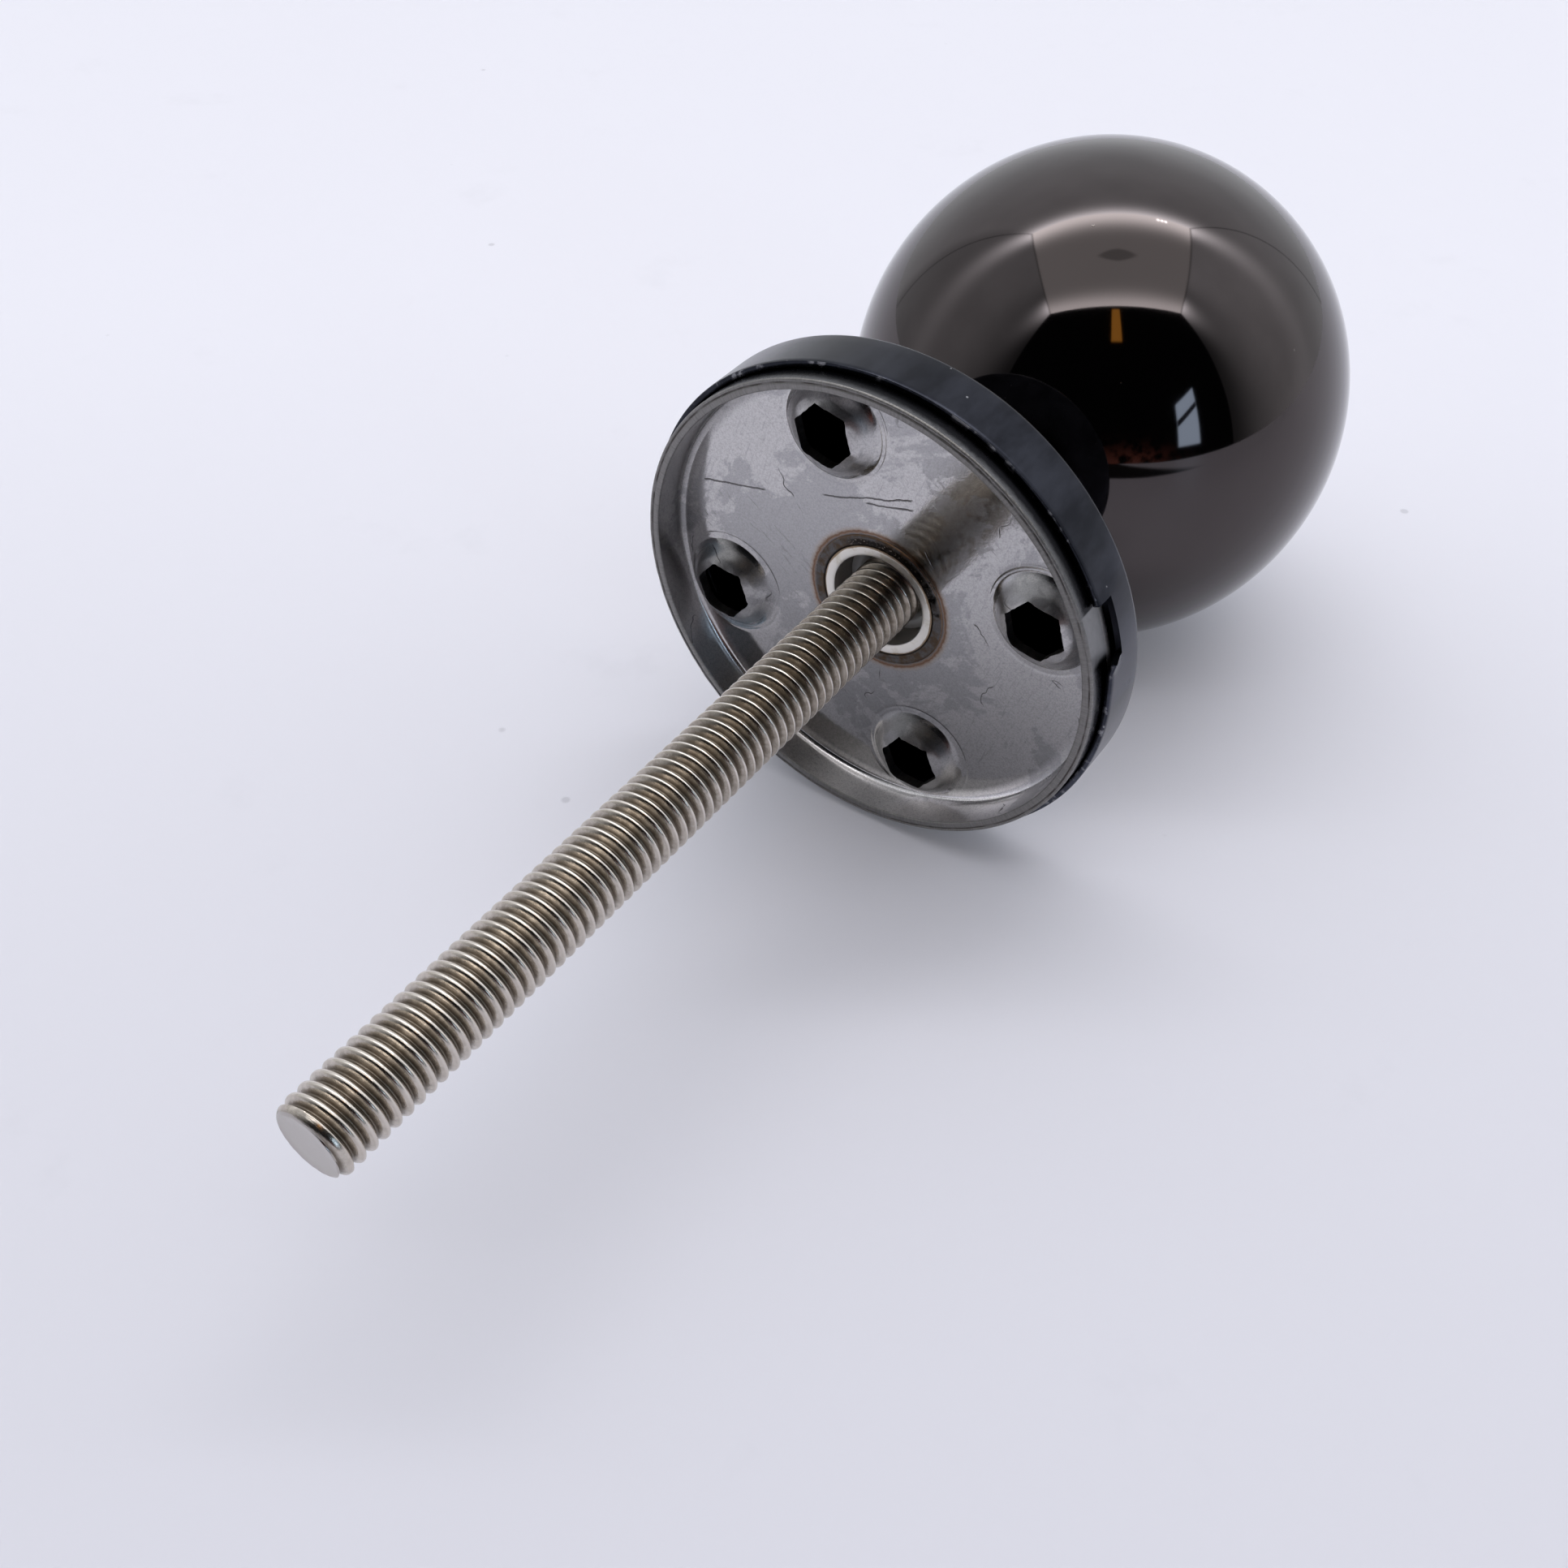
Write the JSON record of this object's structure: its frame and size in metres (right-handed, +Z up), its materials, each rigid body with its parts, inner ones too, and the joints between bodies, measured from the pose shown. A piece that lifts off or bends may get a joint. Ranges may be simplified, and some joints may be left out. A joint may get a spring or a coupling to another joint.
{
  "type": "ball door knob",
  "caption": "Round metal door knob on a short neck, with a loose rose cover over a pressed base plate and a threaded fixing rod.",
  "frame": {"origin": "where the knob's axis meets the door's face, which is the plane of the base plate's rim", "axes": "+Y along the rod, away from the ball and into the door; -Y towards the ball; +Z up"},
  "size_m": [0.0444, 0.1203, 0.0444],
  "materials": {
    "black_nickel": "mirror-polished black nickel",
    "cover_black_nickel": "satin black nickel",
    "stainless_sheet": "mill-rolled, with scuffs and heat tint",
    "weld_metal": "heat-tinted weld bead",
    "plain_steel": "turned",
    "nickel_rod": "warm nickel plate over a rolled thread"
  },
  "bodies": {
    "knob": {"ball_front_shell": "black_nickel", "ball_rear_shell": "black_nickel", "ball_seam_weld": "weld_metal", "neck_weld": "black_nickel", "neck_tube": "black_nickel", "threaded_insert": "plain_steel", "base_plate": "stainless_sheet", "mouth_weld": "weld_metal"},
    "cover": {"rose_cover": "cover_black_nickel"},
    "rod": {"threaded_rod": "nickel_rod"}
  },
  "joints": [
    {"name": "cover_slide", "type": "slide", "parent": "knob", "child": "cover", "axis": [0, 1, 0], "range_m": [-0.0105, 0.00165]},
    {"name": "rod_screw", "type": "slide", "parent": "knob", "child": "rod", "axis": [0, 1, 0], "range_m": [0, 0.006]}
  ]
}
